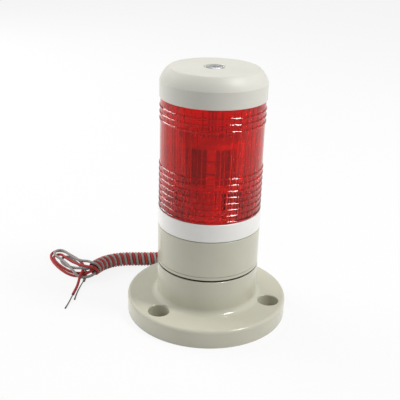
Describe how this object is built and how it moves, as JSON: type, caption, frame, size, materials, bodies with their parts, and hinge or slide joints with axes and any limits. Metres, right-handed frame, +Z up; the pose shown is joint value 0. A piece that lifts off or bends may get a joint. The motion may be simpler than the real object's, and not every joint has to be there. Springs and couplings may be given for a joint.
{
  "type": "signal tower light",
  "caption": "Upright machine signal light: clear red lens with ring beads outside and upright flutes inside, ivory cap and body, white ring, flanged foot, wound two-core lead.",
  "frame": {"origin": "centre of the foot's mounting surface, on the lamp's axis", "axes": "+Z up along the lamp's axis, +Y away from the viewer, cable notch towards +X and +Y"},
  "size_m": [0.1312, 0.099, 0.124],
  "materials": {
    "ivory_plastic": "satin moulded, warm ivory",
    "cap_plastic": "satin moulded, pale ivory",
    "white_plastic": "satin moulded, white",
    "red_lens": "clear red, polished",
    "black_rubber": "matt black",
    "red_silicone": "soft red silicone",
    "plated_steel": "bright zinc plate",
    "green_board": "green solder mask",
    "tan_board": "bare phenolic board",
    "led_white": "white package with a clear window",
    "terminal_green": "moulded green",
    "capacitor_sleeve": "shrunk sleeve",
    "black_moulding": "moulded black",
    "resistor_body": "lacquered",
    "red_insulation": "soft wire insulation",
    "grey_insulation": "soft wire insulation",
    "tinned_wire": "tinned strands"
  },
  "bodies": {
    "root": {"base_flange": "ivory_plastic", "body_housing": "ivory_plastic", "cap": "cap_plastic", "spacer_ring": "white_plastic", "led_pillar": "white_plastic", "led_lower_plate": "white_plastic", "led_upper_plate": "white_plastic", "lens": "red_lens", "base_seal": "black_rubber", "cable_grommet": "black_rubber", "feed_wires": "black_rubber", "lens_lower_seal": "red_silicone", "lens_upper_seal": "red_silicone", "body_screws": "plated_steel", "board_screws": "plated_steel", "terminal_screws": "plated_steel", "tie_rod": "plated_steel", "tie_washer": "plated_steel", "tie_nut": "plated_steel", "retaining_ring": "plated_steel", "cap_washer": "plated_steel", "cap_screw": "plated_steel", "control_board": "green_board", "led_board_1": "tan_board", "led_board_2": "tan_board", "led_board_3": "tan_board", "led_board_4": "tan_board", "led_board_5": "tan_board", "led_board_6": "tan_board", "leds_1": "led_white", "leds_2": "led_white", "leds_3": "led_white", "leds_4": "led_white", "leds_5": "led_white", "leds_6": "led_white", "terminal_block": "terminal_green", "smoothing_capacitor": "capacitor_sleeve", "rectifier": "black_moulding", "dropper_resistors": "resistor_body", "red_lead": "red_insulation", "red_tail": "red_insulation", "lead_hank": "red_insulation", "grey_lead": "grey_insulation", "grey_tail": "grey_insulation", "lead_loops": "grey_insulation", "lead_folds": "grey_insulation", "red_bare_end": "tinned_wire", "grey_bare_end": "tinned_wire"}
  },
  "joints": []
}
